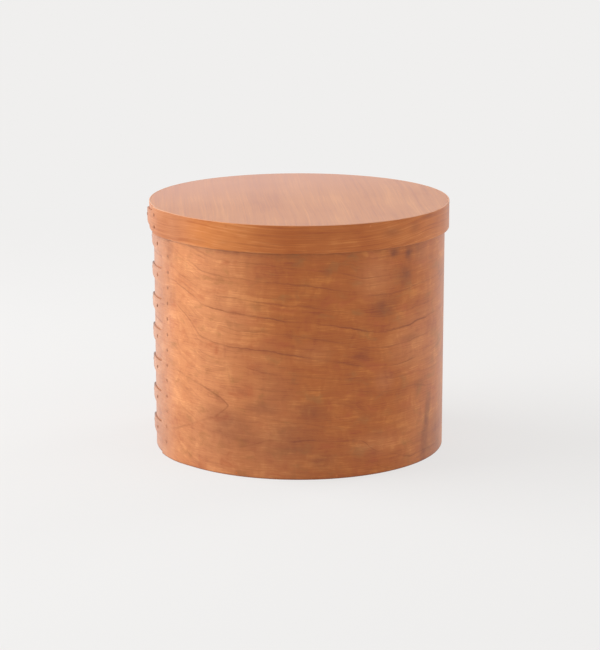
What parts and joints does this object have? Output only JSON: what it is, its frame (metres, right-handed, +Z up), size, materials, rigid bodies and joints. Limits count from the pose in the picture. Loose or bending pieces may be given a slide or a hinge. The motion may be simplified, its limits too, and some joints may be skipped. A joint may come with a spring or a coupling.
{
  "type": "shaker box",
  "caption": "Tall round bentwood box with a lapped, copper-tacked side band, a flat bottom board and a lift-off lid with its own lapped band and flush top board.",
  "frame": {"origin": "centre of the foot, on the surface that the box stands on", "axes": "+Z up through the middle of the lid, -Y towards the front, with the laps near -X"},
  "size_m": [0.2415, 0.24, 0.2],
  "materials": {
    "body_wood": "satin",
    "lid_wood": "satin",
    "board_wood": "satin",
    "peg_wood": "matte",
    "copper": "dull"
  },
  "bodies": {
    "box": {"body_band": "body_wood", "bottom_board": "board_wood", "body_root_tacks": "copper", "body_finger_tacks": "copper", "body_tip_tacks": "copper", "bottom_pegs": "peg_wood"},
    "lid": {"lid_band": "lid_wood", "lid_board": "board_wood", "lid_root_tacks": "copper", "lid_tip_tack": "copper", "lid_pegs": "peg_wood"}
  },
  "joints": [
    {"name": "lid_lift", "type": "slide", "parent": "box", "child": "lid", "axis": [0, 0, 1], "range_m": [0, 0.22]}
  ]
}
